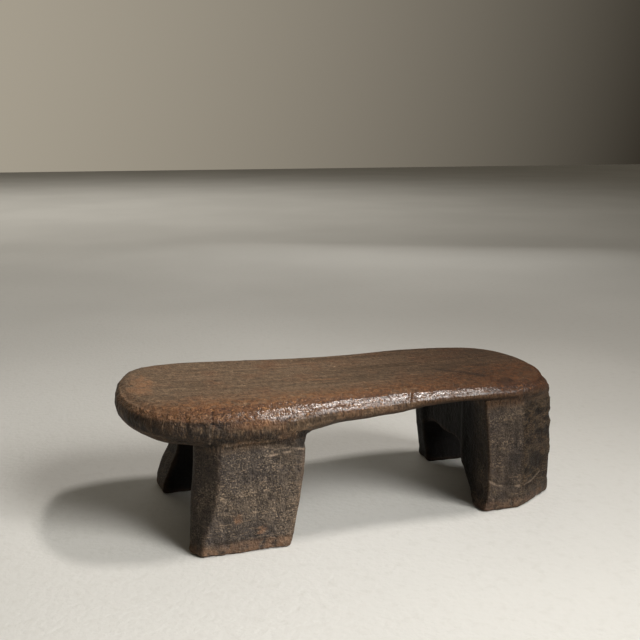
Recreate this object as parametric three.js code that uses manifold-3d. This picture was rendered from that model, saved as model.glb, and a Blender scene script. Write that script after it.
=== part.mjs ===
// A low four-legged headrest, carved from one block of wood.
//
// The thick bearing slab on top is an oblong with a slight waist and a well-rounded rim. Under each
// end, two plank-like legs stand at the long sides. A cross web joins the two legs of an end, and a low
// arch runs under it. The slab, the legs and the webs are regions of the same block: they are separate
// meshes that meet face to face, so that each keeps its own name.
//
// Millimetres. +X runs along the slab, from the left end to the right end, +Y to the back, +Z up.
// The origin is on the floor, under the middle of the object's bounding box.

import * as THREE from "three";
import { mergeVertices } from "three/addons/utils/BufferGeometryUtils.js";
import Module from "manifold-3d";

// ---- Driving dimensions ----

const SEAM = 0.3; // gap between two regions of the block where they meet

// The slab's bearing surface
const TOP_HEIGHT = 133; // over the middle of the slab, before it is dished
const TOP_FALL = 0.011; // how far the surface falls per millimetre towards the right end
const DISH_DEPTH = 1.5; // how far the middle is worn down
const DISH_LENGTH = 120; // from the middle to where the dish has faded to a third, along X and along Y
const DISH_WIDTH = 60;

// The slab's section at stations along X: the underside's height, the height of the rim's widest line
// as a share of the thickness, and how far in from the rim the bearing surface and the underside start
// to roll over. The slab is thick and undercut at the left end, and thin elsewhere.
const SECTIONS = [
  { x: -235, underside: 97, level: 0.63, roundTop: 24, roundUnder: 33 },
  { x: -90, underside: 97.5, level: 0.5, roundTop: 28, roundUnder: 16 },
  { x: -10, underside: 109, level: 0.45, roundTop: 28, roundUnder: 13 },
  { x: 110, underside: 116, level: 0.42, roundTop: 27, roundUnder: 10 },
  { x: 235, underside: 110, level: 0.42, roundTop: 20, roundUnder: 10 },
];
const BACK_ROUND = 0.62; // roundTop along the back, which is less worn, as a share of that in front
const BACK_ROUND_FROM = -40; // the Y at which it starts to change, and the Y where it is reached
const BACK_ROUND_TO = 60;

// The widest line of the rim in plan, counterclockwise as seen from above, from the left tip
const RIM_OUTLINE = [
  [-219.5, -8],
  [-213, -42],
  [-192, -76],
  [-155, -92],
  [-105, -95],
  [-45, -90],
  [25, -85],
  [95, -86],
  [150, -88],
  [192, -80],
  [219, -56],
  [228, -14],
  [224, 30],
  [204, 67],
  [163, 86],
  [112, 89],
  [48, 83],
  [-18, 84],
  [-95, 93],
  [-152, 96],
  [-197, 81],
  [-214, 44],
];

const FOOT_WEAR = 1.5; // how far the foot's edge is worn back at the floor
const FOOT_WEAR_HEIGHT = 3;

// Each leg is a stack of levels, [height, corner, corner, ...]. The corners run counterclockwise as
// seen from above, and rounds holds how far each corner is cut back before it is rounded. The highest
// level lies inside the slab, which cuts the leg off.
const LEGS = {
  leg_front_left: {
    // front face's outer edge, its inner edge, arch side's inner and outer edge, outer face's edge
    rounds: [3, 4, 7, 8, 5],
    levels: [
      [0, [-158, -101], [-73, -101], [-76, -52], [-160, -50], [-168, -86]],
      [17, [-155, -99], [-69, -98], [-73, -46], [-158, -44], [-165, -81]],
      [42, [-144, -95], [-63, -95], [-67, -40], [-156, -39], [-162, -75]],
      [70, [-139, -91], [-58, -93], [-62, -38], [-153, -38], [-158, -70]],
      [108, [-137, -86], [-52, -86], [-56, -38], [-150, -38], [-155, -64]],
    ],
  },
  leg_front_right: {
    // front face's inner edge, its outer edge, bevel's outer edge, arch side's outer and inner edge
    rounds: [2, 4, 7, 8, 6],
    levels: [
      [0, [129, -88], [171, -89], [225, -56], [224, -38], [127, -62]],
      [10, [133, -87], [174, -87], [224, -57], [223, -34], [132, -49]],
      [19, [135, -86], [175, -86], [222, -58], [222, -31], [134, -37]],
      [35, [135, -86], [176, -85], [221, -60], [222, -28], [134, -28]],
      [60, [135, -85], [176, -85], [222, -61], [223, -28], [134, -27]],
      [116, [131, -81], [172, -82], [220, -59], [224, -28], [131, -27]],
    ],
  },
  leg_rear_right: {
    // arch side's inner and outer edge, rear face's outer and inner edge
    rounds: [5, 8, 9, 5],
    levels: [
      [0, [134, 56], [215, 52], [190, 83], [135, 89]],
      [15, [134, 62], [215, 50], [189, 84], [136, 90]],
      [50, [132, 70], [216, 48], [188, 86], [132, 92]],
      [116, [127, 70], [213, 48], [181, 79], [125, 86]],
    ],
  },
  leg_rear_left: {
    // arch side's outer and inner edge, rear face's inner and outer edge
    rounds: [3, 5, 8, 7],
    levels: [
      [0, [-171, 55], [-76, 56], [-75, 95], [-174, 93]],
      [10, [-170, 55], [-74, 56], [-73, 95], [-173, 93]],
      [30, [-162, 56], [-69, 57], [-68, 94], [-167, 93]],
      [52, [-153, 58], [-65, 58], [-64, 93], [-158, 92]],
      [108, [-150, 60], [-60, 60], [-58, 86], [-156, 88]],
    ],
  },
};

// The cross webs: where each lies along X, and its lower edge as [y, height] from front to back. The
// lower edge starts and ends inside the legs, which cut it off, and so does the web's top in the slab.
const WEB_TOP = 114;
const WEBS = {
  web_left: {
    legs: ["leg_front_left", "leg_rear_left"],
    from: -132,
    to: -67,
    lower_edge: [
      [-58, 40],
      [-41, 43],
      [-28, 55],
      [-8, 61],
      [20, 62],
      [44, 59],
      [58, 49],
      [70, 44],
    ],
  },
  web_right: {
    legs: ["leg_front_right", "leg_rear_right"],
    from: 136,
    to: 182,
    lower_edge: [
      [-50, 30],
      [-29, 34],
      [-20, 46],
      [-12, 52],
      [18, 51],
      [46, 52],
      [62, 49],
      [73, 45],
    ],
  },
};

// ---- Shared shapes ----

// A closed body through a stack of rings, from the lowest to the highest. Each ring has the same
// number of points, counterclockwise as seen from above.
function loft(rings) {
  const count = rings[0].length;
  const points = rings.flat();
  const middle = (ring) =>
    ring.reduce((sum, p) => sum.add(p), new THREE.Vector3()).divideScalar(count);
  const bottom = points.push(middle(rings[0])) - 1;
  const top = points.push(middle(rings.at(-1))) - 1;
  const last = (rings.length - 1) * count;
  const index = [];
  for (let i = 0; i < count; i++) {
    const next = (i + 1) % count;
    index.push(bottom, next, i, top, last + i, last + next);
    for (let k = 0; k < last; k += count) {
      index.push(k + i, k + next, k + count + next);
      index.push(k + i, k + count + next, k + count + i);
    }
  }
  return new THREE.BufferGeometry().setFromPoints(points).setIndex(index);
}

// The slab's section at x, between the stations on either side.
function sectionAt(x) {
  const k = Math.max(1, SECTIONS.findIndex((station) => station.x >= x));
  const [from, to] = [SECTIONS[k - 1], SECTIONS[k]];
  const share = THREE.MathUtils.smoothstep(x, from.x, to.x);
  const mix = (key) => [key, THREE.MathUtils.lerp(from[key], to[key], share)];
  return Object.fromEntries(Object.keys(from).map(mix));
}

// ---- The slab ----

const OUTLINE_STEPS = 96;
const RIM_STEPS = 9;
const INNER_RINGS = 7;
const INNERMOST = 0.1; // size of the innermost ring, as a share of the ring where the rim starts

const topAt = (x, y) =>
  TOP_HEIGHT -
  TOP_FALL * x -
  DISH_DEPTH * Math.exp(-((x / DISH_LENGTH) ** 2) - (y / DISH_WIDTH) ** 2);

// The slab's plan outline, with the direction that points into the slab.
const corners = RIM_OUTLINE.map(([x, y]) => new THREE.Vector3(x, y, 0));
const outline = new THREE.CatmullRomCurve3(corners, true);
const outlinePoints = Array.from({ length: OUTLINE_STEPS }, (_, i) => {
  const along = outline.getTangentAt(i / OUTLINE_STEPS);
  const inwards = new THREE.Vector3(-along.y, along.x, 0).normalize();
  return { at: outline.getPointAt(i / OUTLINE_STEPS), inwards };
});

// One ring of the rim. angle is -90 degrees at the underside, 0 at the widest line and 90 at the top.
function rimRing(angle, grow) {
  return outlinePoints.map(({ at, inwards }) => {
    const section = sectionAt(at.x);
    const back = THREE.MathUtils.smoothstep(at.y, BACK_ROUND_FROM, BACK_ROUND_TO);
    const roundTop = section.roundTop * THREE.MathUtils.lerp(1, BACK_ROUND, back);
    const round = angle > 0 ? roundTop : section.roundUnder;
    const p = at.clone().addScaledVector(inwards, round * (1 - Math.cos(angle)) - grow);
    const [low, high] = [section.underside - grow, topAt(at.x, at.y) + grow];
    const widest = low + (high - low) * section.level;
    const reach = angle > 0 ? high - widest : widest - low;
    return p.setZ(widest + reach * Math.sin(angle));
  });
}

// Rings between the rim and the middle, from the outside in, on the surface that heightAt gives.
function innerRings(edge, heightAt) {
  return Array.from({ length: INNER_RINGS }, (_, k) => {
    const share = THREE.MathUtils.lerp(1, INNERMOST, (k + 1) / INNER_RINGS);
    return edge.map((p) => {
      const [x, y] = [p.x * share, p.y * share];
      return new THREE.Vector3(x, y, heightAt(x, y));
    });
  });
}

function slabGeometry(grow = 0) {
  const rim = Array.from({ length: RIM_STEPS }, (_, k) =>
    rimRing(Math.PI * (k / (RIM_STEPS - 1) - 0.5), grow),
  );
  const under = innerRings(rim[0], (x) => sectionAt(x).underside - grow).reverse();
  const over = innerRings(rim.at(-1), (x, y) => topAt(x, y) + grow);
  return loft([...under, ...rim, ...over]);
}

// ---- The legs ----

const CORNER_STEPS = 4; // points round each corner
const LEVEL_STEPS = 3; // rings from one level to the next

// A level's outline with its corners rounded, moved out by grow.
function legRing([height, ...corners], rounds, grow) {
  const points = corners.map(([x, y]) => new THREE.Vector3(x, y, height));
  const middle = points
    .reduce((sum, p) => sum.clone().add(p), new THREE.Vector3())
    .divideScalar(points.length);
  const round = (corner, k) => {
    const towards = (other) =>
      corner.clone().lerp(other, Math.min(0.45, rounds[k] / corner.distanceTo(other)));
    const before = towards(points.at(k - 1));
    const after = towards(points[(k + 1) % points.length]);
    return new THREE.QuadraticBezierCurve3(before, corner, after).getPoints(CORNER_STEPS - 1);
  };
  const ring = points.flatMap(round);
  return ring.map((p) => p.addScaledVector(p.clone().sub(middle).normalize(), grow));
}

function legGeometry({ rounds, levels }, grow = 0) {
  const rings = levels.map((level) => legRing(level, rounds, grow));
  const columns = rings[0].map((_, i) =>
    new THREE.CatmullRomCurve3(rings.map((ring) => ring[i]), false, "catmullrom").getPoints(
      LEVEL_STEPS * (levels.length - 1),
    ),
  );
  const stack = columns[0].map((_, k) => columns.map((column) => column[k]));
  const foot = legRing(levels[0], rounds, grow - FOOT_WEAR);
  stack[0].forEach((p) => p.setZ(FOOT_WEAR_HEIGHT));
  return loft([foot, ...stack]);
}

// ---- The cross webs ----

// The web's lower edge drawn up to WEB_TOP.
function webGeometry({ from, to, lower_edge }) {
  const side = new THREE.Shape();
  side.moveTo(lower_edge[0][0], WEB_TOP);
  side.lineTo(...lower_edge[0]);
  side.splineThru(lower_edge.slice(1).map(([y, z]) => new THREE.Vector2(y, z)));
  side.lineTo(lower_edge.at(-1)[0], WEB_TOP);
  const settings = { depth: to - from, curveSegments: 6, bevelEnabled: false };
  const block = new THREE.ExtrudeGeometry(side, settings);
  // the outline's x and y become Y and Z, and the extrusion runs along X
  const turn = new THREE.Matrix4().set(0, 0, 1, from, 1, 0, 0, 0, 0, 1, 0, 0, 0, 0, 0, 1);
  return block.applyMatrix4(turn);
}

// ---- Cutting the regions apart ----

const wasm = await Module();
wasm.setup();

function solid(geometry) {
  const bare = geometry.clone().deleteAttribute("normal").deleteAttribute("uv");
  const merged = mergeVertices(bare, 1e-4);
  const vertProperties = merged.attributes.position.array;
  const triVerts = new Uint32Array(merged.index.array);
  return new wasm.Manifold(new wasm.Mesh({ numProp: 3, vertProperties, triVerts }));
}

function geometryOf(body) {
  const { vertProperties, triVerts } = body.getMesh();
  const geometry = new THREE.BufferGeometry();
  geometry.setAttribute("position", new THREE.BufferAttribute(vertProperties, 3));
  geometry.setIndex(new THREE.BufferAttribute(triVerts, 1));
  geometry.computeVertexNormals();
  return geometry;
}

const slabRoom = solid(slabGeometry(SEAM));
const legRoom = (name) => solid(legGeometry(LEGS[name], SEAM));

// ---- Assembly ----

const handled_wood = new THREE.MeshStandardMaterial({ color: 0x4a3325, roughness: 0.5 });
const sooty_wood = new THREE.MeshStandardMaterial({ color: 0x2e2620, roughness: 0.75 });

const headrest = new THREE.Group();

function addRegion(name, geometry, material) {
  const mesh = new THREE.Mesh(geometry, material);
  mesh.name = name;
  headrest.add(mesh);
}

addRegion("slab", slabGeometry(), handled_wood);

for (const [name, leg] of Object.entries(LEGS)) {
  const body = solid(legGeometry(leg)).subtract(slabRoom);
  addRegion(name, geometryOf(body), sooty_wood);
}

for (const [name, web] of Object.entries(WEBS)) {
  const [front, rear] = web.legs.map(legRoom);
  const body = solid(webGeometry(web)).subtract(slabRoom).subtract(front).subtract(rear);
  addRegion(name, geometryOf(body), sooty_wood);
}

// stand the object centrally over the origin
const { x, y } = new THREE.Box3().setFromObject(headrest).getCenter(new THREE.Vector3());
headrest.position.set(-x, -y, 0);

export default headrest;
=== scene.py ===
"""A low four-legged headrest, carved from one block of dark hardwood.

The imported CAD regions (slab, legs, webs) are blended into one carved body on a lattice of distances.
Tool marks, wear and dents are then worked into its skin, and the body is sawn apart again along flat
cuts, so that each CAD region is replaced by one finely carved piece.
"""

import bmesh
import bpy
import numpy as np
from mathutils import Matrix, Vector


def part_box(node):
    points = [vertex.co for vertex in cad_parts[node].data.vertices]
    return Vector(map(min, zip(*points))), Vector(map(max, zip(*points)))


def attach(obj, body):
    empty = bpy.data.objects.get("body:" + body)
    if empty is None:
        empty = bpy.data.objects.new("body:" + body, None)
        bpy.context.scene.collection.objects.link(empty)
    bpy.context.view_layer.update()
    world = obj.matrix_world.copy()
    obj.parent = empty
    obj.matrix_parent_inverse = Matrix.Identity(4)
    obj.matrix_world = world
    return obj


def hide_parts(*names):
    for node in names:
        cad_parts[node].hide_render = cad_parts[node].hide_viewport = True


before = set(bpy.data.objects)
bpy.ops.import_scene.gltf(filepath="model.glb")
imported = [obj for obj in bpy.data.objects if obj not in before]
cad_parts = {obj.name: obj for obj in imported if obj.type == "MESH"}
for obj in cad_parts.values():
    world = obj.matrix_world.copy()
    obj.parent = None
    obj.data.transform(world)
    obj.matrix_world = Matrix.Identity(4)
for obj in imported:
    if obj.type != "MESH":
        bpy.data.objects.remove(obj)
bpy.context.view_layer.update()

import openvdb
from mathutils import Vector

# ---- Driving dimensions, in metres ----

MM = 0.001
VOXEL = 1.2 * MM  # the spacing of the lattice of distances
BAND = 12  # voxels: how far the distances of one region reach from its surface
MARGIN = 6  # voxels of room around the object
WEB_FILLET = 10 * MM  # of the corner between a web and its legs
SLAB_FILLET = 5 * MM  # of the corner under the slab
SOFTENING = 0.7  # voxels: how far crisp edges are rubbed off all over
PROUD_REACH = 4  # voxels: the blur that flattens ridges and hollows, to tell them from the rest

# The CAD nodes of each side from the front to the rear, and where the cuts between them lie along Y
LEFT = ("leg_front_left", "web_left", "leg_rear_left")
RIGHT = ("leg_front_right", "web_right", "leg_rear_right")
LEFT_CUTS = (-36 * MM, 59 * MM)
RIGHT_CUTS = (-25 * MM, 62 * MM)

# The cut between the slab and what carries it is a tilted plane just below the slab's underside
CUT_HEIGHT = 98.2 * MM  # at the middle of the object
CUT_SLOPE = 0.0474  # rise per metre towards the right end
SAW_SNAP = 0.0001 * MM  # points this near to a cut count as lying on it
SLIVER = 0.001 * MM  # sawn edges shorter than this are dissolved

# A slot name listed for each piece, which the pieces don't use: every piece gets the same aged wood
SLOTS = {
    "slab": "handled_wood",
    "leg_front_left": "sooty_wood",
    "leg_front_right": "sooty_wood",
    "leg_rear_left": "sooty_wood",
    "leg_rear_right": "sooty_wood",
    "web_left": "sooty_wood",
    "web_right": "sooty_wood",
}
WOOD_SPECULAR = 0.16  # the bare wood hardly shines
POLISH_ROUGHNESS = 0.16  # the rubbed rim shines softly

FLOOR_REACH = 8.0  # metres from the middle of the floor to its sides
CAMERA_PLACE = (-0.28481, -0.82989, 0.37509)
CAMERA_PITCH = 78.0  # degrees from straight down
CAMERA_TURN = -17.7175  # degrees about the vertical
LENS_MM = 50
SENSOR_MM = 36
GLOW_START = 0.35  # cosine of the angle from a glow's middle at which it begins
SKY_STRENGTH = 0.75

# Large whole numbers that scramble the cells of the noise
HASH_AXES = (0x8DA6B343, 0xD8163841, 0xCB1AB31F)
HASH_SEED = 0x9E3779B1
HASH_ROUNDS = ((16, 0x7FEB352D), (15, 0x846CA68B))


# ---- The carved body, as distances on a lattice ----

boxes = np.array([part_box(node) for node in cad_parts])
object_low = boxes[:, 0].min(axis=0)
object_high = boxes[:, 1].max(axis=0)
lattice_low = np.floor(object_low / VOXEL).astype(int) - MARGIN
lattice_high = np.ceil(object_high / VOXEL).astype(int) + MARGIN


def region_distances(node):
    """Signed distances to one CAD node, over the whole lattice: positive outside."""
    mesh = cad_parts[node].data
    mesh.calc_loop_triangles()
    points = np.empty(len(mesh.vertices) * 3, np.float32)
    mesh.vertices.foreach_get("co", points)
    corners = np.empty(len(mesh.loop_triangles) * 3, np.int32)
    mesh.loop_triangles.foreach_get("vertices", corners)
    grid = openvdb.FloatGrid.createLevelSetFromPolygons(
        points.reshape(-1, 3),
        triangles=corners.reshape(-1, 3).astype(np.uint32),
        transform=openvdb.createLinearTransform(voxelSize=VOXEL),
        halfWidth=float(BAND),
    )
    distances = np.empty(tuple(lattice_high - lattice_low), np.float32)
    grid.copyToArray(distances, ijk=tuple(int(i) for i in lattice_low))
    return distances


def blend(a, b, fillet):
    """The union of two shapes, with a fillet where they meet."""
    near = np.maximum(fillet - np.abs(a - b), 0) / fillet
    return np.minimum(a, b) - near * near * fillet / 4


def soften(distances, radius):
    """Blurs the distances, which rubs off the edges. radius is the blur's width in voxels."""
    reach = int(np.ceil(radius * 2.5))
    offsets = np.arange(-reach, reach + 1)
    weights = np.exp(-0.5 * (offsets / radius) ** 2)
    weights = (weights / weights.sum()).astype(np.float32)
    for axis in range(3):
        padding = [(reach, reach) if k == axis else (0, 0) for k in range(3)]
        padded = np.pad(distances, padding, mode="edge")
        size = distances.shape[axis]
        slices = [[slice(None)] * 3 for _ in weights]
        for k, index in enumerate(slices):
            index[axis] = slice(k, k + size)
        distances = sum(w * padded[tuple(index)] for w, index in zip(weights, slices))
    return distances


def carved_body():
    """Distances to the whole object, with its regions blended into one block."""
    body = region_distances("slab")
    for front, web, rear in (LEFT, RIGHT):
        support = blend(region_distances(front), region_distances(web), WEB_FILLET)
        support = blend(support, region_distances(rear), WEB_FILLET)
        body = blend(body, support, SLAB_FILLET)
    return soften(body, SOFTENING)


def sample(lattice, points):
    """The lattice's value at any points, by trilinear interpolation."""
    place = points / VOXEL - lattice_low
    cell = np.clip(np.floor(place).astype(int), 0, np.array(lattice.shape) - 2)
    share = (place - cell).astype(np.float32)
    total = np.zeros(len(points), np.float32)
    for corner in np.ndindex(2, 2, 2):
        weight = np.prod(np.where(corner, share, 1 - share), axis=1)
        total += weight * lattice[tuple((cell + corner).T)]
    return total


def outward(distances, points):
    """Unit normals of the body at points on its surface."""
    steps = np.eye(3) * VOXEL * 1.5
    rises = [sample(distances, points + s) - sample(distances, points - s) for s in steps]
    normals = np.stack(rises, axis=1)
    return normals / np.linalg.norm(normals, axis=1, keepdims=True)


def skin(distances):
    """The body's surface as points and outward-facing quads."""
    grid = openvdb.FloatGrid()
    grid.copyFromArray(distances)
    grid.transform = openvdb.createLinearTransform(voxelSize=VOXEL)
    points, quads = grid.convertToQuads()
    return points.astype(np.float64) + lattice_low * VOXEL, quads.astype(np.int32)


# ---- Patterns in space ----


def smoothstep(low, high, value):
    """0 up to low, 1 from high on, and a smooth step between them. low may be the greater one."""
    share = np.clip((value - low) / (high - low), 0, 1)
    return share * share * (3 - 2 * share)


def scatter(cells, seed):
    """A random number from 0 to 1 for each whole-number cell."""
    mixed = np.full(len(cells), seed * HASH_SEED % 2**32, np.uint32)
    for axis, factor in enumerate(HASH_AXES):
        mixed ^= cells[:, axis].astype(np.uint32) * np.uint32(factor)
    for shift, factor in HASH_ROUNDS:
        mixed = (mixed ^ (mixed >> np.uint32(shift))) * np.uint32(factor)
    return (mixed ^ (mixed >> np.uint32(16))) / np.float32(2**32)


def noise(points, size, seed):
    """Smooth noise from -1 to 1, with lumps of the given size or sizes along X, Y and Z."""
    place = points / size
    cell = np.floor(place).astype(np.int64)
    share = place - cell
    share = (share * share * (3 - 2 * share)).astype(np.float32)
    total = np.zeros(len(points), np.float32)
    for corner in np.ndindex(2, 2, 2):
        weight = np.prod(np.where(corner, share, 1 - share), axis=1)
        total += weight * scatter(cell + corner, seed)
    return 2 * total - 1


def rough(points, size, seed, octaves=3):
    """Noise with finer noise on it, from about -1 to 1. The size is that of the broadest lumps."""
    size = np.array(size)
    layers = [noise(points, size / 2**k, seed + k) / 2**k for k in range(octaves)]
    return sum(layers) / 1.5


def scoops(points, size, seed):
    """Shallow bowls side by side, as an adze leaves them: low in a bowl's middle, high on the
    ridges between bowls, from about -0.5 to 0.5."""
    place = points / size
    cell = np.floor(place).astype(np.int64)
    lowest = np.full(len(points), 9.0, np.float32)
    for corner in np.ndindex(3, 3, 3):
        near = cell + corner - 1
        middle = near + np.stack([scatter(near, seed + k) for k in range(3)], axis=1)
        bowl = np.sum((place - middle) ** 2, axis=1) + 0.4 * scatter(near, seed + 3)
        lowest = np.minimum(lowest, bowl)
    return lowest - 0.55


def dents(points, size, seed, share):
    """Rare round dents, 1 in a dent's middle and 0 outside it. share is how many cells hold one."""
    place = points / size
    cell = np.floor(place).astype(np.int64)
    depth = np.zeros(len(points), np.float32)
    for corner in np.ndindex(3, 3, 3):
        near = cell + corner - 1
        middle = near + np.stack([scatter(near, seed + k) for k in range(3)], axis=1)
        radius = 0.3 + 0.4 * scatter(near, seed + 4)
        away = np.linalg.norm(place - middle, axis=1) / radius
        here = scatter(near, seed + 3) < share
        depth = np.maximum(depth, here * (1 - smoothstep(0, 1, away)))
    return depth


def line_through(points, stops, width):
    """1 on a broken line through the stops (millimetres), fading to 0 at the width beside it."""
    nearest = np.full(len(points), np.inf)
    stops = np.array(stops) * MM
    for start, end in zip(stops[:-1], stops[1:]):
        way = end - start
        share = np.clip((points - start) @ way / (way @ way), 0, 1)
        nearest = np.minimum(nearest, np.linalg.norm(points - start - share[:, None] * way, axis=1))
    return smoothstep(width * MM, 0.25 * width * MM, nearest)


def patch(points, middle, size, seed=0, raggedness=0.5):
    """1 inside an egg-shaped patch (millimetres) with a ragged edge, 0 outside it."""
    away = np.linalg.norm((points - np.array(middle) * MM) / (np.array(size) * MM), axis=1)
    if raggedness:
        away += raggedness * rough(points, np.array(size) * 0.6 * MM, seed, 3)
    return smoothstep(1.25, 0.75, away)


# ---- Carving ----

# Features that the eye picks out, as lines through points in millimetres
RIM_CRACKS = (
    [(-145.5, -79, 131.5), (-146.5, -84, 129), (-147.5, -90, 123)],
    [(48, -75, 129), (46, -79, 127), (44, -82, 124)],
)
LEG_CRACK = [(-139, -87, 106), (-141, -86, 96), (-141, -86, 88)]
LEDGE = [(-135, -86, 99.5), (-115, -86, 100), (-97, -87, 101.5)]
FOOT_CUT = [(128, -83, 34), (141, -84, 26), (161, -84, 23), (176, -80, 22), (187, -74, 23), (199, -67, 28)]
LIGHT_LINES = (
    [(-149.5, -90, 121), (-150, -90, 112), (-149.5, -82, 99)],
    LEDGE,
    [(-74, -87, 91), (-62, -87, 89)],
    [(-100, -87, 95), (-92, -87, 92), (-78, -87, 92)],
    [(-96, -87, 86), (-86, -87, 87), (-76, -87, 88)],
    [(157, -80, 98.5), (171, -79, 98)],
)
# Sooty and rusty bands: the stops, the width in millimetres and the strength
SOOTY_BANDS = (
    ([(-138, -92, 109), (-96, -91, 105), (-64, -86, 100)], 11, 0.95),
    ([(-93, -92, 116.5), (-64, -90, 117), (-38, -88, 118)], 8, 0.55),
    ([(108, -13, 131), (124, -27, 131), (140, -46, 130)], 9, 0.6),
    ([(170, -81, 118), (175, -80, 110)], 8, 0.8),
    ([(-141, -88, 111), (-141, -87, 98), (-143, -89, 84)], 7, 0.8),
)
RUSTY_BANDS = (
    ([(-132, -92, 118), (-105, -92, 119), (-84, -92, 116)], 6, 0.9),
    ([(138, -5, 132), (154, -14, 132), (170, -24, 131)], 5, 0.8),
    ([(186, -20, 131), (198, -26, 130)], 6, 0.7),
    ([(-40, -10, 132), (-8, -14, 132)], 4, 0.9),
)
NOTCH = (-61, -87, 98)  # at the inner top corner of the front left leg
ARCH_MIDDLE = 15 * MM  # along Y, of the arches under both webs


def above_cut(points):
    """Height above the cut between the slab and what carries it."""
    return points[:, 2] - CUT_HEIGHT - CUT_SLOPE * points[:, 0]


class Zones:
    """Where the parts of the surface lie: each is 1 inside its zone and 0 outside it."""

    def __init__(self, points, normals):
        x, y, z = points.T
        nx, ny, nz = normals.T
        self.slab = smoothstep(-3 * MM, 9 * MM, above_cut(points))
        self.leg = 1 - self.slab
        self.top = smoothstep(0.8, 0.96, nz) * self.slab
        self.under = smoothstep(0.3, 0.8, -nz) * self.slab
        self.rim = self.slab * (1 - self.top) * (1 - self.under)
        self.left_end = smoothstep(-110 * MM, -175 * MM, x) * self.rim
        # The shoulder between the top and the rim, squarer at the left end
        self.shoulder = self.slab * smoothstep(0.25, 0.7, nz) * smoothstep(0.98, 0.75, nz)
        self.shoulder *= smoothstep(-60 * MM, -150 * MM, x)
        # The outer corner of the front right leg, hacked away and left rough
        corner = smoothstep(166 * MM, 174 * MM, x) * smoothstep(-20 * MM, -45 * MM, y)
        outer = smoothstep(0.1, 0.4, nx)
        self.hacked = np.maximum(corner * self.leg, 0.8 * corner * outer * self.rim)
        self.hacked *= smoothstep(2 * MM, 25 * MM, z)
        # The foot, worn by the floor
        ragged = 2 * MM * noise(points, 0.02, seed=7)
        self.foot = smoothstep(13 * MM, 9 * MM, z + ragged)
        # The rounded upper edge of the slab, where hands and heads rub
        self.edge = self.slab * smoothstep(0.99, 0.9, nz) * smoothstep(0.1, 0.45, nz)
        # The front of the top, rubbed warm, over a wider strip towards the right end
        warm_from = -30 * MM + 0.25 * np.maximum(x, 0)
        self.warm = self.slab * smoothstep(warm_from, warm_from - 45 * MM, y)
        self.warm *= smoothstep(0.3, 0.8, nz)
        # Surfaces between the legs and under the arches, which get painted shade
        inward = smoothstep(0.2, 0.7, -nx * np.sign(x)) * smoothstep(-70 * MM, -40 * MM, y)
        from_arch = y - ARCH_MIDDLE
        arch = smoothstep(0.3, 0.8, -ny * np.sign(from_arch))
        arch *= smoothstep(70 * MM, 50 * MM, np.abs(from_arch))
        self.inside = self.leg * np.maximum(inward, arch)


def reshape(points):
    """Broad departures of the carved block from the smooth body, in metres along the normal."""
    # The underside sags a little at the waist
    lift = 1.8 * patch(points, (-30, -84, 108), (75, 30, 14))
    # The slab's right front corner is hacked short
    lift -= 3.2 * patch(points, (217, -46, 123), (14, 24, 18), seed=93, raggedness=0.4)
    return lift * MM


def carve(points, normals, zone):
    """How far the tool, the hand and the years leave the surface above the smooth body, in metres.

    Heights are in millimetres up to the last line. The patterns take their sizes in metres, the
    patches and lines in millimetres.
    """
    # The whole block is a little uneven
    lift = 0.7 * rough(points, 0.075, seed=11, octaves=2)
    # Adze marks on the slab, and finer strokes on its rim, shoulder and edge
    lift += zone.top * 0.3 * scoops(points, (0.06, 0.024, 0.05), seed=21)
    lift += zone.under * 1.3 * scoops(points, (0.026, 0.02, 0.024), seed=31)
    lift += zone.rim * 0.9 * scoops(points, (0.024, 0.024, 0.015), seed=41)
    lift += zone.left_end * 0.6 * noise(points, (0.0045, 0.0045, 0.03), seed=51)
    lift += zone.shoulder * (0.7 + 0.5 * noise(points, (0.005, 0.005, 0.02), seed=53))
    lift += zone.rim * 0.25 * rough(points, 0.0045, seed=55, octaves=2)
    lift += zone.edge * 0.25 * rough(points, 0.006, seed=57, octaves=2)
    # Long facets and upright strokes on the legs
    plain_leg = zone.leg * (1 - zone.hacked)
    lift += plain_leg * 0.7 * scoops(points, (0.018, 0.018, 0.04), seed=61)
    lift += plain_leg * 0.35 * noise(points, (0.006, 0.006, 0.03), seed=73)
    lift += zone.leg * 0.25 * rough(points, 0.0055, seed=71, octaves=2)
    # The hacked corner, torn in flat chips
    curl = 0.006 * np.stack([noise(points, 0.02, seed=83 + k) for k in range(3)], axis=1)
    torn = 1.9 * scoops(points + curl, (0.02, 0.02, 0.0095), seed=81)
    torn = torn + 1.5 * rough(points + curl, 0.009, seed=91, octaves=3)
    lift += zone.hacked * np.minimum(torn, 0.4)
    # Knocks, and the foot worn back by the floor
    lift -= (zone.rim + 0.4 * zone.top) * 0.8 * dents(points, 0.02, seed=101, share=0.12)
    lift -= plain_leg * 0.6 * dents(points, (0.012, 0.012, 0.028), seed=111, share=0.16)
    lift -= zone.foot * (0.35 + 0.4 * noise(points, 0.012, seed=121))
    # The waste left under the slab's left front, with a low ledge where the leg starts
    lift += 0.6 * patch(points, (-112, -88, 103), (30, 12, 5), seed=131, raggedness=0.2)
    lift += 0.6 * line_through(points, LEDGE, 3)
    lift -= 2.2 * patch(points, NOTCH, (9, 9, 8), seed=141, raggedness=0.15)
    for stops, depth, width in zip(RIM_CRACKS, (0.7, 0.8), (2.0, 2.2)):
        lift -= depth * line_through(points, stops, width)
    lift -= 0.5 * line_through(points, FOOT_CUT, 3)
    return lift * MM


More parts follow.
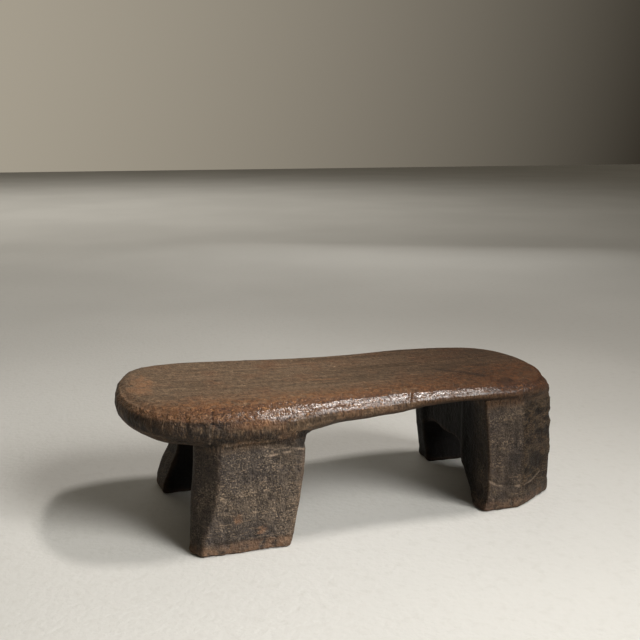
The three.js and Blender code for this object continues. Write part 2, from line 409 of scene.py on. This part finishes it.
def paint(points, normals, zone):
    """Where the wood is worn, sooty, in painted shade, pale, scratched or cracked, each from 0 to 1."""
    ragged = rough(points, 0.02, seed=201, octaves=3)
    fine = rough(points, 0.007, seed=203, octaves=3)
    broken = smoothstep(-0.9, 0.1, ragged + 0.5 * fine)
    x, y, z = points.T
    upward = normals[:, 2]

    handled = smoothstep(0.15, 0.75, zone.edge + 0.35 * ragged + 0.15 * fine)
    handled *= 0.35 + 0.65 * smoothstep(0, -40 * MM, y)
    handled *= 1 - 0.6 * smoothstep(-140 * MM, -195 * MM, x)

    # Soot under the left front of the rim and in bands; soot and painted shade round the left end's rim;
    # painted shade on the legs' faces turned to the left, in the notch, between the legs and under the
    # slab
    soot_and_shade = patch(points, (-157, -86, 107), (34, 16, 12), seed=211)
    # Partly soot, partly painted shade: the lower rim round the left end, turned away from the light, is
    # darkened
    left_rim_soot_and_shade = smoothstep(-90 * MM, -150 * MM, x) * zone.rim * smoothstep(0.8, 0.35, upward)
    left_rim_soot_and_shade *= smoothstep(-1.1, -0.1, ragged)
    soot_and_shade = np.maximum(soot_and_shade, left_rim_soot_and_shade)
    # Painted shade: the legs' faces turned to the left, away from the lamp, are darkened
    side = smoothstep(0.35, 0.6, -normals[:, 0])
    side *= np.where(x > 0, smoothstep(15 * MM, 75 * MM, z), 1)
    soot_and_shade = np.maximum(soot_and_shade, 0.45 * zone.leg * side)
    for stops, width, strength in SOOTY_BANDS:
        soot_and_shade = np.maximum(soot_and_shade, strength * broken * line_through(points, stops, width))
    soot_and_shade = np.maximum(soot_and_shade, 0.5 * patch(points, (154, -67, 131), (8, 7, 6), seed=217, raggedness=0.7))
    # Painted shade: the notch is blackened as a shadowed recess
    soot_and_shade = np.maximum(soot_and_shade, 0.9 * patch(points, NOTCH, (9, 9, 9), seed=219, raggedness=0.2))
    # Painted shade: near-black between the legs and under the arches, and darker under the slab
    soot_and_shade = np.maximum(soot_and_shade, zone.inside)
    soot_and_shade = np.maximum(soot_and_shade, 0.7 * zone.under)

    # Rusty brown where the dark skin is rubbed through, and on the worn feet
    pale = patch(points, (-199, 8, 133), (13, 34, 7), seed=221)
    for stops, width, strength in RUSTY_BANDS:
        pale = np.maximum(pale, strength * broken * line_through(points, stops, width))
    pale = np.maximum(pale, 0.7 * patch(points, (166, -60, 130), (6, 6, 6), seed=223, raggedness=0.7))
    pale = np.maximum(pale, 0.8 * patch(points, (-128, -94, 33), (4, 8, 5), seed=225, raggedness=0.5))
    pale = np.maximum(pale, 0.7 * patch(points, (-106, -94, 19), (5, 8, 4), seed=227, raggedness=0.7))
    foot_wear = np.where(x > 0, 0.35, 0.55)
    pale = np.maximum(pale, foot_wear * zone.foot * smoothstep(-0.5, 0.3, ragged))

    # Light scratches, then cracks and the dark line above the feet
    light = np.zeros(len(points))
    for stops in LIGHT_LINES:
        light = np.maximum(light, line_through(points, stops, 1.4))
    light *= smoothstep(-0.6, 0.4, fine)
    light = np.maximum(light, 0.8 * line_through(points, FOOT_CUT, 1.6))
    crack = np.zeros(len(points))
    for stops in (*RIM_CRACKS, LEG_CRACK):
        crack = np.maximum(crack, line_through(points, stops, 1.3))
    above_foot = np.exp(-((((z - 11.5 * MM) + 1.5 * MM * ragged) / (1.3 * MM)) ** 2))
    crack = np.maximum(crack, 0.45 * above_foot * zone.leg * smoothstep(-0.6, 0.3, fine))

    # The polish lies on the front of the slab's rounded edge, and fades towards both ends
    gloss = zone.slab * smoothstep(0.15, 0.5, upward) * smoothstep(-30 * MM, -60 * MM, y)
    gloss *= smoothstep(0.99, 0.9, upward) * smoothstep(-160 * MM, -70 * MM, x)
    gloss *= smoothstep(150 * MM, 95 * MM, x) * 0.8 + 0.2
    gloss *= 1 - 0.8 * np.minimum(soot_and_shade, 1)
    gloss = np.maximum(gloss, 0.12 * zone.top)
    return {
        "handled": handled,
        "gloss": gloss,
        "warm": zone.warm,
        "rim": zone.rim * (1 - zone.hacked),
        "inside": zone.inside,
        "hacked": zone.hacked,
        "soot_and_shade": soot_and_shade,
        "pale": pale,
        "light": light,
        "crack": crack,
        # Darker towards the right end: partly darker wood, partly painted shade where the light falls off
        "right": smoothstep(-60 * MM, 160 * MM, x),
    }


# ---- Pieces ----


def mesh_from(points, faces):
    """A mesh of faces that all have the same number of corners."""
    mesh = bpy.data.meshes.new("carved")
    mesh.vertices.add(len(points))
    mesh.vertices.foreach_set("co", points.astype(np.float32).ravel())
    mesh.loops.add(faces.size)
    mesh.loops.foreach_set("vertex_index", faces.ravel())
    mesh.polygons.add(len(faces))
    starts = np.arange(0, faces.size, faces.shape[1], dtype=np.int32)
    mesh.polygons.foreach_set("loop_start", starts)
    mesh.update(calc_edges=True)
    mesh.validate()
    return mesh


def add_attribute(mesh, name, values, kind="FLOAT"):
    """Gives each point of a mesh its own value or vector, under a name."""
    attribute = mesh.attributes.new(name, kind, "POINT")
    key = "vector" if kind == "FLOAT_VECTOR" else "value"
    attribute.data.foreach_set(key, np.ascontiguousarray(values, np.float32).ravel())


def vertex_normals(mesh):
    normals = np.empty(len(mesh.vertices) * 3, np.float32)
    mesh.vertices.foreach_get("normal", normals)
    return normals.reshape(-1, 3)


def saw(part, point, normal):
    """The two closed halves of a bmesh on either side of a plane: behind it, and in front."""
    halves = []
    for sign in (1, -1):
        side = part.copy()
        toward = Vector(normal) * sign
        everything = side.verts[:] + side.edges[:] + side.faces[:]
        bmesh.ops.bisect_plane(
            side, geom=everything, plane_co=point, plane_no=toward, clear_outer=True, dist=SAW_SNAP
        )
        rim = [edge for edge in side.edges if edge.is_boundary]
        cap = bmesh.ops.edgeloop_fill(side, edges=rim, use_smooth=False)
        for face in cap["faces"]:
            face.normal_update()
            if face.normal.dot(toward) < 0:
                face.normal_flip()
        halves.append(side)
    part.free()
    return halves


def drop_crumbs(part):
    """Leaves one closed body of a sawn piece, without the slivers and crumbs of the cuts."""
    bmesh.ops.dissolve_degenerate(part, dist=SLIVER, edges=part.edges[:])
    seen = set()
    islands = []
    for start in part.verts:
        if start in seen:
            continue
        seen.add(start)
        island = [start]
        for vertex in island:
            for edge in vertex.link_edges:
                other = edge.other_vert(vertex)
                if other not in seen:
                    seen.add(other)
                    island.append(other)
        islands.append(island)
    main = max(islands, key=len)
    crumbs = [vertex for island in islands if island is not main for vertex in island]
    bmesh.ops.delete(part, geom=crumbs, context="VERTS")
    bmesh.ops.triangulate(part, faces=[face for face in part.faces if len(face.verts) > 4])


def finish_piece(part, node, material):
    """Makes the object of one sawn piece, which stands for a CAD node."""
    drop_crumbs(part)
    mesh = bpy.data.meshes.new("carved_" + node)
    part.to_mesh(mesh)
    part.free()
    # The skin keeps the normals of the whole body, so that no shading shows where it was sawn
    skin_normals = np.empty(len(mesh.vertices) * 3, np.float32)
    mesh.attributes["skin_normal"].data.foreach_get("vector", skin_normals)
    mesh.attributes.remove(mesh.attributes["skin_normal"])
    corner_vertices = np.empty(len(mesh.loops), np.int32)
    mesh.loops.foreach_get("vertex_index", corner_vertices)
    corner_normals = skin_normals.reshape(-1, 3)[corner_vertices]
    for face in mesh.polygons:
        if not face.use_smooth:
            corner_normals[face.loop_start : face.loop_start + face.loop_total] = face.normal
    lengths = np.linalg.norm(corner_normals, axis=1, keepdims=True)
    mesh.normals_split_custom_set((corner_normals / np.maximum(lengths, 1e-9)).tolist())
    mesh.materials.append(material)
    piece = bpy.data.objects.new("carved_" + node, mesh)
    bpy.context.scene.collection.objects.link(piece)
    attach(piece, "root")
    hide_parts(node)


# ---- Materials ----


def srgb(red, green, blue):
    """A colour given as it looks on a screen, from 0 to 255, in the linear form that shaders take."""
    shares = np.array((red, green, blue)) / 255
    linear = np.where(shares <= 0.04045, shares / 12.92, ((shares + 0.055) / 1.055) ** 2.4)
    return (*linear.tolist(), 1.0)


def grey(value):
    return (value, value, value, 1.0)


class NodeTree:
    """A material's node tree, built with short calls. Values are numbers, colours or sockets."""

    def __init__(self, name):
        self.material = bpy.data.materials.new(name)
        self.material.use_nodes = True
        self.tree = self.material.node_tree
        self.shader = self.tree.nodes["Principled BSDF"]
        self.place = self.tree.nodes.new("ShaderNodeTexCoord").outputs["Object"]

    def give(self, value, socket):
        if isinstance(value, bpy.types.NodeSocket):
            self.tree.links.new(value, socket)
        else:
            socket.default_value = value

    def shade(self, name, value):
        """Gives the shader's input of this name its value."""
        self.give(value, self.shader.inputs[name])

    def attribute(self, name):
        node = self.tree.nodes.new("ShaderNodeAttribute")
        node.attribute_name = name
        return node.outputs["Fac"]

    def math(self, operation, a, b=0.0):
        node = self.tree.nodes.new("ShaderNodeMath")
        node.operation = operation
        self.give(a, node.inputs[0])
        self.give(b, node.inputs[1])
        return node.outputs[0]

    def add(self, a, b):
        return self.math("ADD", a, b)

    def times(self, a, b):
        return self.math("MULTIPLY", a, b)

    def scaled(self, factors):
        """Object coordinates, scaled along X, Y and Z."""
        node = self.tree.nodes.new("ShaderNodeVectorMath")
        node.operation = "MULTIPLY"
        self.give(self.place, node.inputs[0])
        node.inputs[1].default_value = factors
        return node.outputs[0]

    def noise(self, size, detail=3.0, distortion=0.0):
        """Noise from 0 to 1 with lumps of the given size, or sizes along X, Y and Z, in metres."""
        sizes = size if isinstance(size, tuple) else (size, size, size)
        node = self.tree.nodes.new("ShaderNodeTexNoise")
        self.give(self.scaled([1 / s for s in sizes]), node.inputs["Vector"])
        node.inputs["Scale"].default_value = 1.0
        node.inputs["Detail"].default_value = detail
        node.inputs["Distortion"].default_value = distortion
        return node.outputs[0]

    def band(self, value, low, high, to_low=0.0, to_high=1.0):
        """A smooth step from to_low to to_high as the value goes from low to high."""
        node = self.tree.nodes.new("ShaderNodeMapRange")
        node.interpolation_type = "SMOOTHSTEP"
        self.give(value, node.inputs["Value"])
        limits = {"From Min": low, "From Max": high, "To Min": to_low, "To Max": to_high}
        for name, number in limits.items():
            node.inputs[name].default_value = number
        return node.outputs[0]

    def mix(self, share, a, b, blend="MIX"):
        """Colour a where the share is 0, and b, or a blend of both, where it is 1."""
        node = self.tree.nodes.new("ShaderNodeMix")
        node.data_type = "RGBA"
        node.blend_type = blend
        self.give(share, node.inputs["Factor"])
        self.give(a, node.inputs["A"])
        self.give(b, node.inputs["B"])
        return node.outputs["Result"]

    def layer(self, under, over, mask, strength):
        """Lays one colour over another where the mask is high."""
        return self.mix(self.times(mask, strength), under, over)

    def tinted(self, colour, tint):
        """A colour multiplied by a tint."""
        return self.mix(1.0, colour, tint, "MULTIPLY")

    def between(self, share, low, high):
        """A number that goes from low to high as the share goes from 0 to 1."""
        return self.mix(share, grey(low), grey(high))

    def bump(self, height, distance, normal=None):
        """Fine relief as high as the distance, in metres, laid over another relief if given."""
        node = self.tree.nodes.new("ShaderNodeBump")
        node.inputs["Strength"].default_value = 1.0
        node.inputs["Distance"].default_value = distance
        self.give(height, node.inputs["Height"])
        if normal is not None:
            self.give(normal, node.inputs["Normal"])
        return node.outputs[0]


class Textures:
    """The noises that the wood's colours and its relief share."""

    def __init__(self, tree):
        self.grain = tree.noise((0.035, 0.0014, 0.0014), 4, 0.6)
        self.clouds = tree.noise(0.03, 4)
        self.mottle = tree.noise(0.006, 4)
        self.flecks = tree.noise((0.0032, 0.0032, 0.0016), 2, 0.8)
        self.specks = tree.noise(0.0021, 2)
        self.torn = tree.noise((0.005, 0.005, 0.0016), 4, 1.2)
        self.strokes = tree.noise((0.0022, 0.0022, 0.009), 2, 0.5)


def leg_colour(tree, texture):
    """Grey-brown carved wood with dark pores, pale grit and scrapes, and torn where it is hacked."""
    wood = tree.mix(tree.band(texture.clouds, 0.35, 0.65), srgb(76, 68, 62), srgb(96, 84, 72))
    blotched = tree.mix(0.62, wood, srgb(38, 33, 31))
    wood = tree.mix(tree.band(texture.mottle, 0.3, 0.7), blotched, wood)
    grit = tree.noise(0.0014, 3)
    scrapes = tree.noise((0.009, 0.009, 0.0016), 3, 0.7)
    patchy = tree.band(tree.noise(0.02, 4), 0.35, 0.65, 0.12, 1.0)
    pale_grit = tree.times(tree.band(grit, 0.52, 0.7), patchy)
    pale_flecks = tree.times(tree.band(texture.flecks, 0.6, 0.75), patchy)
    wood = tree.layer(wood, srgb(34, 29, 26), tree.band(grit, 0.5, 0.3), 0.8)
    wood = tree.layer(wood, srgb(154, 136, 116), pale_grit, 0.7)
    wood = tree.layer(wood, srgb(150, 128, 106), tree.band(scrapes, 0.58, 0.72), 0.4)
    wood = tree.layer(wood, srgb(172, 148, 122), pale_flecks, 0.5)
    torn_wood = tree.mix(tree.band(texture.torn, 0.36, 0.68), srgb(36, 27, 20), srgb(100, 83, 62))
    return tree.layer(wood, torn_wood, tree.attribute("hacked"), 0.85)


def slab_colour(tree, texture):
    """Brown wood, streaked along the slab, and warmer where it is rubbed at the front."""
    streaks = tree.noise((0.09, 0.005, 0.005), 3, 0.4)
    coarse = tree.noise((0.0045, 0.005, 0.004), 4, 0.6)
    wood = tree.mix(tree.band(streaks, 0.25, 0.75), srgb(82, 65, 48), srgb(114, 93, 73))
    wood = tree.layer(wood, srgb(108, 77, 55), tree.band(texture.clouds, 0.45, 0.75), 0.7)
    wood = tree.layer(wood, srgb(70, 54, 42), tree.band(texture.mottle, 0.45, 0.25), 0.5)
    wood = tree.layer(wood, srgb(50, 40, 31), tree.band(coarse, 0.47, 0.3), 0.6)
    wood = tree.layer(wood, srgb(150, 126, 100), tree.band(coarse, 0.55, 0.72), 0.5)
    wood = tree.layer(wood, srgb(176, 150, 120), tree.band(texture.flecks, 0.66, 0.78), 0.5)
    warm = tree.times(tree.attribute("warm"), tree.band(texture.mottle, 0.25, 0.6))
    warm_wood = tree.mix(tree.band(coarse, 0.35, 0.6), srgb(90, 56, 33), srgb(124, 84, 52))
    return tree.layer(wood, warm_wood, warm, 0.75)


def rubbed_colour(tree, texture):
    """Reddish wood where hands have rubbed the dark skin away."""
    wood = tree.mix(tree.band(texture.specks, 0.35, 0.6), srgb(58, 38, 28), srgb(98, 66, 44))
    wood = tree.layer(wood, srgb(128, 92, 62), tree.band(texture.mottle, 0.55, 0.75), 0.5)
    return tree.layer(wood, srgb(182, 132, 86), tree.band(texture.flecks, 0.58, 0.7), 0.7)


def aged_wood(name):
    """Dark hardwood, blackened by smoke and handling and darkened by painted shade between the legs, under
    the slab and on faces turned from the light, rubbed to a shine where it is touched.
    """
    tree = NodeTree(name)
    texture = Textures(tree)
    slab = tree.attribute("slab")
    proud = tree.attribute("proud")
    rim = tree.attribute("rim")
    hacked = tree.attribute("hacked")

    colour = tree.mix(slab, leg_colour(tree, texture), slab_colour(tree, texture))
    handled = tree.times(tree.attribute("handled"), tree.band(texture.clouds, 0.2, 0.6, 0.5, 1.0))
    colour = tree.mix(handled, colour, rubbed_colour(tree, texture))
    dark_strokes = tree.times(rim, tree.band(texture.strokes, 0.5, 0.3))
    colour = tree.layer(colour, srgb(34, 27, 23), dark_strokes, 0.6)

    # Rubbed-through wood, then soot and painted shade in near-black, then the rim's pale strokes, which
    # cut through both
    pale = tree.times(tree.attribute("pale"), tree.band(texture.mottle, 0.3, 0.6))
    colour = tree.layer(colour, srgb(142, 102, 71), pale, 0.6)
    soot_and_shade = tree.times(tree.attribute("soot_and_shade"), tree.band(texture.mottle, 0.25, 0.55, 0.6, 1.0))
    black = tree.mix(tree.band(texture.specks, 0.4, 0.65), srgb(19, 18, 18), srgb(40, 36, 33))
    colour = tree.layer(colour, black, soot_and_shade, 0.88)
    pale_strokes = tree.times(rim, tree.band(texture.strokes, 0.55, 0.7))
    colour = tree.layer(colour, srgb(150, 122, 94), pale_strokes, 0.32)
    # Painted shade: the faces between the legs and under the arches are laid near-black
    colour = tree.layer(colour, srgb(13, 11, 9), tree.attribute("inside"), 0.93)

    # Proud ridges are worn lighter, and hollows are darker; the torn chips' hollows get painted shade,
    # which brings out their relief
    ridges = tree.band(tree.add(proud, tree.times(texture.mottle, 1.6)), 1.3, 2.6)
    colour = tree.mix(tree.times(ridges, tree.between(slab, 0.14, 0.22)), colour, srgb(120, 92, 68))
    hollows = tree.band(tree.add(proud, tree.times(texture.mottle, 0.6)), 0.15, -0.45)
    torn_hollow_shade = tree.times(hacked, tree.band(proud, -0.4, -1.2, 0.0, 0.3))
    darkened_hollows = tree.add(tree.times(hollows, tree.between(slab, 0.45, 0.7)), torn_hollow_shade)
    colour = tree.mix(darkened_hollows, colour, srgb(26, 22, 19))

    # The grain, the right end darkened partly as darker wood and partly as painted shade where the light
    # falls off, and the light and dark lines
    colour = tree.mix(tree.band(texture.grain, 0.3, 0.7), tree.tinted(colour, grey(0.84)), colour)
    right = tree.times(tree.attribute("right"), tree.band(slab, 0.0, 1.0, 0.45, 0.95))
    colour = tree.mix(right, colour, tree.tinted(colour, srgb(172, 158, 146)))
    colour = tree.layer(colour, srgb(165, 144, 124), tree.attribute("light"), 0.55)
    colour = tree.layer(colour, srgb(18, 14, 12), tree.attribute("crack"), 0.7)
    tree.shade("Base Color", colour)

    uneven = tree.times(tree.add(texture.mottle, texture.grain), 0.16)
    tree.shade("Roughness", tree.add(uneven, tree.between(slab, 0.5, 0.42)))
    tree.shade("Specular IOR Level", WOOD_SPECULAR)
    polish = tree.band(tree.noise((0.012, 0.004, 0.004), 3), 0.3, 0.55, 0.35, 1.0)
    tree.shade("Coat Weight", tree.times(tree.attribute("gloss"), polish))
    tree.shade("Coat Roughness", POLISH_ROUGHNESS)

    relief = tree.bump(texture.grain, 0.5 * MM)
    relief = tree.bump(texture.specks, 1.3 * MM, relief)
    relief = tree.bump(tree.times(texture.torn, hacked), 4 * MM, relief)
    relief = tree.bump(tree.times(texture.strokes, rim), 1.2 * MM, relief)
    relief = tree.bump(texture.mottle, 1.4 * MM, relief)
    tree.shade("Normal", relief)
    # The polish fills the finest relief, so it is smoother than the wood under it
    polished_relief = tree.bump(texture.specks, 0.4 * MM, tree.bump(texture.grain, 0.3 * MM))
    tree.shade("Coat Normal", polished_relief)
    return tree.material


def plaster():
    """The pale floor, a little cloudy and rough."""
    tree = NodeTree("floor")
    clouds = tree.band(tree.noise(0.5, 2), 0.3, 0.7)
    colour = tree.mix(clouds, srgb(194, 193, 188), srgb(201, 200, 195))
    spots = tree.band(tree.noise(0.012, 4), 0.5, 0.75)
    tree.shade("Base Color", tree.layer(colour, srgb(181, 179, 172), spots, 0.25))
    tree.shade("Roughness", 0.7)
    tree.shade("Normal", tree.bump(tree.noise(0.006, 5), 0.6 * MM))
    return tree.material


# ---- Building ----

body = carved_body()
points, quads = skin(body)
normals = outward(body, points)
zone = Zones(points, normals)
broad = reshape(points)
points += normals * (broad + carve(points, normals, zone))[:, None]
points = np.clip(points, object_low, object_high)

whole = mesh_from(points, quads)
masks = paint(points, normals, zone)
masks["slab"] = zone.slab
# How far the surface stands above its wider surroundings, in millimetres
masks["proud"] = (sample(soften(body, PROUD_REACH), points) - broad) / MM
for name, values in masks.items():
    add_attribute(whole, name, values)
whole.shade_smooth()
add_attribute(whole, "skin_normal", vertex_normals(whole), "FLOAT_VECTOR")

uncut = bmesh.new()
uncut.from_mesh(whole)
bpy.data.meshes.remove(whole)
parts = {}
supports, parts["slab"] = saw(uncut, (0, 0, CUT_HEIGHT), (-CUT_SLOPE, 0, 1))
left, right = saw(supports, (0, 0, 0), (1, 0, 0))
for side, nodes, cuts in ((left, LEFT, LEFT_CUTS), (right, RIGHT, RIGHT_CUTS)):
    front, web, rear = nodes
    parts[front], behind = saw(side, (0, cuts[0], 0), (0, 1, 0))
    parts[web], parts[rear] = saw(behind, (0, cuts[1], 0), (0, 1, 0))

wood = aged_wood("aged_wood")
for node, slot in SLOTS.items():
    finish_piece(parts[node], node, wood)


# ---- Stage ----

corners = [(-1, -1), (1, -1), (1, 1), (-1, 1)]
floor_mesh = bpy.data.meshes.new("floor")
floor_mesh.from_pydata([(x * FLOOR_REACH, y * FLOOR_REACH, 0) for x, y in corners], [], [(0, 1, 2, 3)])
floor_mesh.materials.append(plaster())
floor = bpy.data.objects.new("floor", floor_mesh)
bpy.context.scene.collection.objects.link(floor)


def soft_lamp(name, place, target, size, power, colour, spread):
    """A rectangular lamp at a place, aimed at a target. The power is in watts, the spread in degrees."""
    data = bpy.data.lights.new(name, "AREA")
    data.shape = "RECTANGLE"
    data.size, data.size_y = size
    data.energy = power
    data.color = colour
    data.spread = np.radians(spread)
    lamp = bpy.data.objects.new(name, data)
    lamp.location = place
    lamp.rotation_euler = (Vector(target) - Vector(place)).to_track_quat("-Z", "Y").to_euler()
    bpy.context.scene.collection.objects.link(lamp)
    return lamp


soft_lamp(
    "window",
    place=(0.8, -1.15, 1.05),
    target=(-0.6, -0.05, 0),
    size=(0.8, 1.0),
    power=8.6,
    colour=(1.0, 0.985, 0.96),
    spread=70,
)
soft_lamp(
    "overhead",
    place=(0.56, -0.08, 1.4),
    target=(0.02, -0.08, 0.12),
    size=(0.24, 0.12),
    power=11,
    colour=(1.0, 0.95, 0.91),
    spread=180,
)
back_fill = soft_lamp(
    "back_fill",
    place=(0.9, 1.9, 0.6),
    target=(0, 0, 0.06),
    size=(1.4, 0.8),
    power=3,
    colour=(1.0, 0.98, 0.95),
    spread=140,
)
back_fill.visible_glossy = False  # it only lightens the back, and leaves no sheen on the top
soft_lamp(
    "far_wash",
    place=(-0.8, 3.6, 2.6),
    target=(-0.8, 3.8, 0),
    size=(5.0, 3.0),
    power=45,
    colour=(1.0, 0.96, 0.9),
    spread=120,
)

world = bpy.data.worlds.new("studio")
world.use_nodes = True
bpy.context.scene.world = world
sky = world.node_tree


def glow(middle, from_colour, to_colour):
    """A soft patch of light round the sky, brightest towards the middle."""
    facing = sky.nodes.new("ShaderNodeVectorMath")
    facing.operation = "DOT_PRODUCT"
    facing.inputs[1].default_value = middle
    sky.links.new(sky.nodes.new("ShaderNodeTexCoord").outputs["Generated"], facing.inputs[0])
    shades = sky.nodes.new("ShaderNodeValToRGB")
    for stop, position, colour in zip(
        shades.color_ramp.elements, (GLOW_START, 1.0), (from_colour, to_colour)
    ):
        stop.position = position
        stop.color = colour
    sky.links.new(facing.outputs["Value"], shades.inputs["Fac"])
    return shades.outputs["Color"]


both = sky.nodes.new("ShaderNodeMix")
both.data_type = "RGBA"
both.blend_type = "ADD"
both.inputs["Factor"].default_value = 1.0
far_glow = glow((-0.5, 0.85, 0.15), srgb(50, 45, 37), srgb(206, 196, 177))
near_glow = glow((0.6, -0.79, 0.1), srgb(0, 0, 0), srgb(140, 136, 128))
sky.links.new(far_glow, both.inputs["A"])
sky.links.new(near_glow, both.inputs["B"])
sky.links.new(both.outputs["Result"], sky.nodes["Background"].inputs["Color"])
sky.nodes["Background"].inputs["Strength"].default_value = SKY_STRENGTH

camera_data = bpy.data.cameras.new("camera")
camera_data.lens = LENS_MM
camera_data.sensor_width = SENSOR_MM
camera = bpy.data.objects.new("camera", camera_data)
camera.location = CAMERA_PLACE
camera.rotation_euler = np.radians((CAMERA_PITCH, 0, CAMERA_TURN))
bpy.context.scene.collection.objects.link(camera)
bpy.context.scene.camera = camera
bpy.context.scene.view_settings.view_transform = "Standard"
